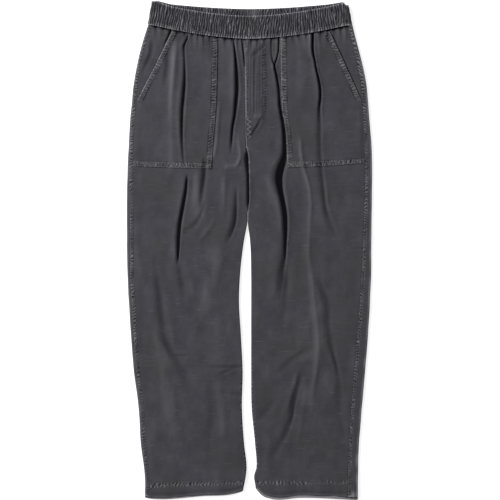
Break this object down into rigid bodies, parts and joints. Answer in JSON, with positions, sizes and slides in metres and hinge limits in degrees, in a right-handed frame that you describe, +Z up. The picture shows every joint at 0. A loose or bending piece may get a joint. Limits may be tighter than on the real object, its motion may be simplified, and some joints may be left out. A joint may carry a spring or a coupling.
{
  "type": "casual trousers laid flat",
  "caption": "Loose straight-leg cotton trousers laid flat on their back: gathered elastic waistband, large patch pockets with slanted mouths, mock fly, felled seams.",
  "frame": {"origin": "under the middle of the bounding box, on the surface the trousers lie on", "axes": "+Y up the trousers from hem to waist, +X to the wearer's left, +Z up from the surface"},
  "size_m": [0.5024, 1.0202, 0.011],
  "materials": {
    "washed_twill": "matte garment-washed charcoal cotton twill",
    "gathered_band": "matte washed twill gathered over elastic"
  },
  "bodies": {
    "root": {"front_right": "washed_twill", "front_left": "washed_twill", "back_right": "washed_twill", "back_left": "washed_twill", "pocket_right": "washed_twill", "pocket_left": "washed_twill", "fly": "washed_twill", "waistband_front": "gathered_band", "waistband_back": "gathered_band"}
  },
  "joints": []
}
